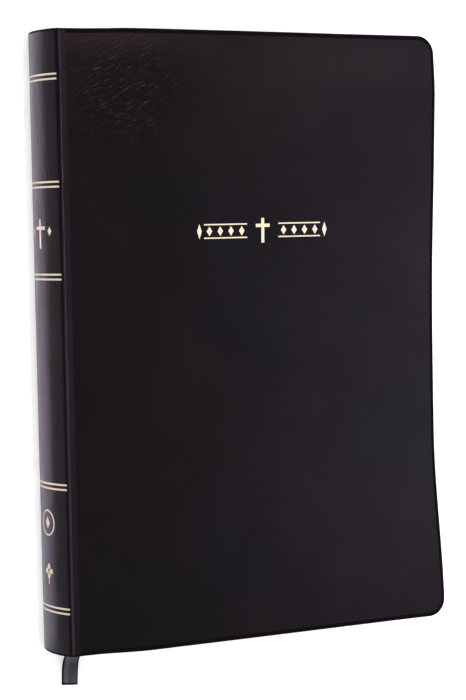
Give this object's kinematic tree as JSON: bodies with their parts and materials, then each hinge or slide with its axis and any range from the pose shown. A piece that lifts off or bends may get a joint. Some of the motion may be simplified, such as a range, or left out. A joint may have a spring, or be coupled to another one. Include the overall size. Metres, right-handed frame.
{
  "type": "bible",
  "caption": "Limp leather bible with rounded spine, gold rules and ornaments, sewn gilt-edged pages in turning sections, opening covers, flyleaves and a ribbon marker.",
  "frame": {"origin": "centre of the closed book's footprint, on the surface that its back cover lies on", "axes": "+X from the spine to the fore-edge, +Y from the tail to the head, +Z out of the front cover"},
  "size_m": [0.1692, 0.249, 0.0255],
  "materials": {
    "leather": "black bonded leather, fine wrinkled grain, soft satin sheen",
    "card": "plain grey-brown bookbinding card",
    "liner": "black lining paper with a faint grain",
    "endpaper": "heavy cream endpaper",
    "pages": "thin cream paper, its edges gilded",
    "gold_foil": "stamped pale gold foil",
    "kraft": "brown kraft paper",
    "mull": "open-weave cotton mull",
    "thread": "waxed linen thread",
    "band": "woven headband cloth, black and gold stripes",
    "ribbon": "charcoal satin ribbon"
  },
  "bodies": {
    "rear_pages": {"gathering_19": "pages", "gathering_20": "pages", "gathering_21": "pages", "gathering_22": "pages", "gathering_23": "pages", "gathering_24": "pages"},
    "back_cover": {"back_cover_leather": "leather", "back_cover_card": "card", "back_pastedown": "liner"},
    "back_flyleaf_turn": {"back_flyleaf": "endpaper"},
    "mid_rear_pages": {"gathering_13": "pages", "gathering_14": "pages", "gathering_15": "pages", "gathering_16": "pages", "gathering_17": "pages", "gathering_18": "pages"},
    "spine": {"spine_leather": "leather", "spine_inlay": "card", "spine_lining": "kraft", "spine_mull": "mull", "sewing_thread": "thread", "headband": "band", "tailband": "band", "ribbon_marker": "ribbon", "spine_foil_rules": "gold_foil", "spine_foil_ornaments": "gold_foil"},
    "mid_front_pages": {"gathering_07": "pages", "gathering_08": "pages", "gathering_09": "pages", "gathering_10": "pages", "gathering_11": "pages", "gathering_12": "pages"},
    "front_pages": {"gathering_01": "pages", "gathering_02": "pages", "gathering_03": "pages", "gathering_04": "pages", "gathering_05": "pages", "gathering_06": "pages"},
    "front_cover": {"front_cover_leather": "leather", "front_cover_card": "card", "front_pastedown": "liner", "front_foil_ornament": "gold_foil"},
    "front_flyleaf_turn": {"front_flyleaf": "endpaper"}
  },
  "joints": [
    {"name": "front_cover_hinge", "type": "hinge", "parent": "front_pages", "child": "front_cover", "pos_m": [-0.07795, 0, 0.0254], "axis": [0, 1, 0], "range_deg": [-170, 0]},
    {"name": "front_flyleaf_hinge", "type": "hinge", "parent": "front_pages", "child": "front_flyleaf_turn", "pos_m": [-0.07795, 0, 0.0254], "axis": [0, 1, 0], "range_deg": [-85, 0]},
    {"name": "front_quarter_opening", "type": "hinge", "parent": "mid_front_pages", "child": "front_pages", "pos_m": [-0.07795, 0, 0.0254], "axis": [0, -1, 0], "range_deg": [0, 85]},
    {"name": "front_half_opening", "type": "hinge", "parent": "spine", "child": "mid_front_pages", "pos_m": [-0.07795, 0, 0.0254], "axis": [0, -1, 0], "range_deg": [0, 90]},
    {"name": "rear_half_opening", "type": "hinge", "parent": "mid_rear_pages", "child": "spine", "pos_m": [-0.07795, 0, 0], "axis": [0, 1, 0], "range_deg": [-90, 0]},
    {"name": "rear_quarter_opening", "type": "hinge", "parent": "rear_pages", "child": "mid_rear_pages", "pos_m": [-0.07795, 0, 0], "axis": [0, 1, 0], "range_deg": [-85, 0]},
    {"name": "back_flyleaf_hinge", "type": "hinge", "parent": "rear_pages", "child": "back_flyleaf_turn", "pos_m": [-0.07795, 0, 0], "axis": [0, 1, 0], "range_deg": [0, 85]},
    {"name": "back_cover_hinge", "type": "hinge", "parent": "rear_pages", "child": "back_cover", "pos_m": [-0.07795, 0, 0], "axis": [0, 1, 0], "range_deg": [0, 170]}
  ],
  "couplings": [
    {"joint": "front_flyleaf_hinge", "follows": "front_cover_hinge", "ratio": 0.5},
    {"joint": "back_flyleaf_hinge", "follows": "back_cover_hinge", "ratio": 0.5}
  ]
}
